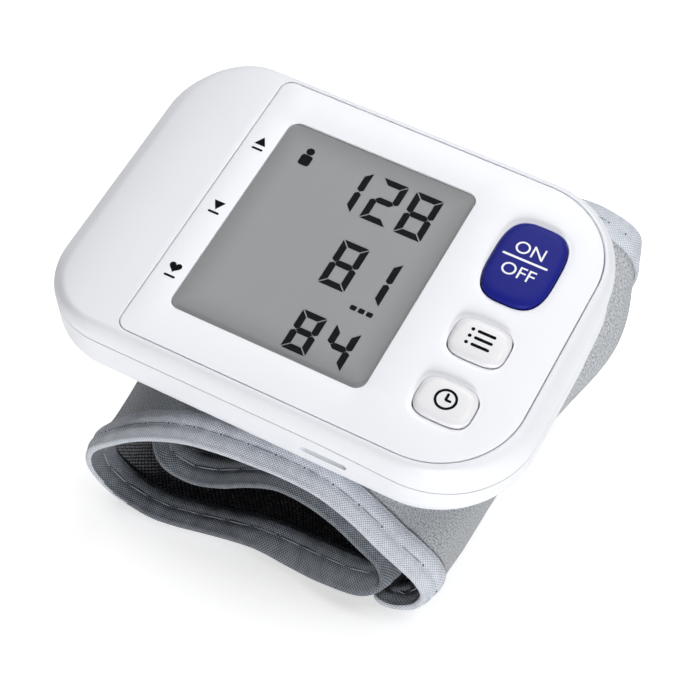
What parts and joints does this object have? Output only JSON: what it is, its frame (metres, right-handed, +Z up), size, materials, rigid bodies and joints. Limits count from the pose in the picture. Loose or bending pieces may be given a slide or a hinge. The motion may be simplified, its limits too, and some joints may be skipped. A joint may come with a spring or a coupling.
{
  "type": "wrist blood pressure monitor",
  "caption": "Wrist blood pressure monitor: a white display unit with push buttons, standing tilted on its own wound grey fabric cuff with bound edges.",
  "frame": {"origin": "middle of the footprint on the table", "axes": "+X along the display's rows to the button side, +Y to the back, +Z up from the table"},
  "size_m": [0.0884, 0.0746, 0.0581],
  "materials": {
    "case_white": "satin moulded",
    "panel_white": "smooth",
    "key_white": "satin",
    "key_blue": "satin",
    "lens_clear": "clear",
    "lcd_grey": "matt polariser",
    "black_plastic": "moulded",
    "board_green": "solder mask",
    "steel": "plain",
    "brass": "plain",
    "cell_label": "sleeve",
    "grey_rubber": "matt",
    "fleece_grey": "brushed fleece",
    "knit_black": "woven",
    "tape_grey": "woven binding"
  },
  "bodies": {
    "base": {"upper_case": "case_white", "lower_case": "case_white", "cuff_plate": "case_white", "case_screw_1": "steel", "case_screw_2": "steel", "case_screw_3": "steel", "case_screw_4": "steel", "face_panel": "panel_white", "display_lens": "lens_clear", "lcd_cell": "lcd_grey", "lcd_frame": "black_plastic", "lcd_connector": "grey_rubber", "start_switch": "black_plastic", "memory_switch": "black_plastic", "set_switch": "black_plastic", "main_board": "board_green", "pressure_sensor": "black_plastic", "controller_chip": "black_plastic", "buzzer": "black_plastic", "pump_motor": "steel", "pump_head": "black_plastic", "release_valve": "steel", "air_manifold": "black_plastic", "pump_tube": "grey_rubber", "valve_tube": "grey_rubber", "sensor_tube": "grey_rubber", "cuff_nozzle": "black_plastic", "battery_left": "cell_label", "battery_right": "cell_label", "battery_terminal_left": "brass", "battery_terminal_right": "brass", "battery_spring_left": "steel", "battery_spring_right": "steel", "cuff_cloth": "fleece_grey", "cuff_lining": "knit_black", "cuff_bladder": "grey_rubber", "cuff_tape_front": "tape_grey", "cuff_tape_back": "tape_grey"},
    "start_key": {"start_button": "key_blue"},
    "memory_key": {"memory_button": "key_white"},
    "set_key": {"set_button": "key_white"},
    "door": {"battery_door": "case_white"},
    "flap": {"flap_cloth": "fleece_grey", "flap_lining": "knit_black", "flap_tape_front": "tape_grey", "flap_tape_back": "tape_grey", "hook_patch": "knit_black"}
  },
  "joints": [
    {"name": "start_press", "type": "slide", "parent": "base", "child": "start_key", "axis": [-0.1192, 0.2079, -0.9709], "range_m": [0, 0.0006], "stiffness_N_per_m": 1500, "springref_m": -0.0003},
    {"name": "memory_press", "type": "slide", "parent": "base", "child": "memory_key", "axis": [-0.1192, 0.2079, -0.9709], "range_m": [0, 0.0006], "stiffness_N_per_m": 1500, "springref_m": -0.0003},
    {"name": "set_press", "type": "slide", "parent": "base", "child": "set_key", "axis": [-0.1192, 0.2079, -0.9709], "range_m": [0, 0.0006], "stiffness_N_per_m": 1500, "springref_m": -0.0003},
    {"name": "battery_door_slide", "type": "slide", "parent": "base", "child": "door", "axis": [-0.9925, 0, 0.1219], "range_m": [0, 0.012]},
    {"name": "flap_peel", "type": "hinge", "parent": "base", "child": "flap", "pos_m": [0.03139, -0.00042, 0.02319], "axis": [-0.1157, -0.96, -0.255], "range_deg": [0, 90]}
  ]
}
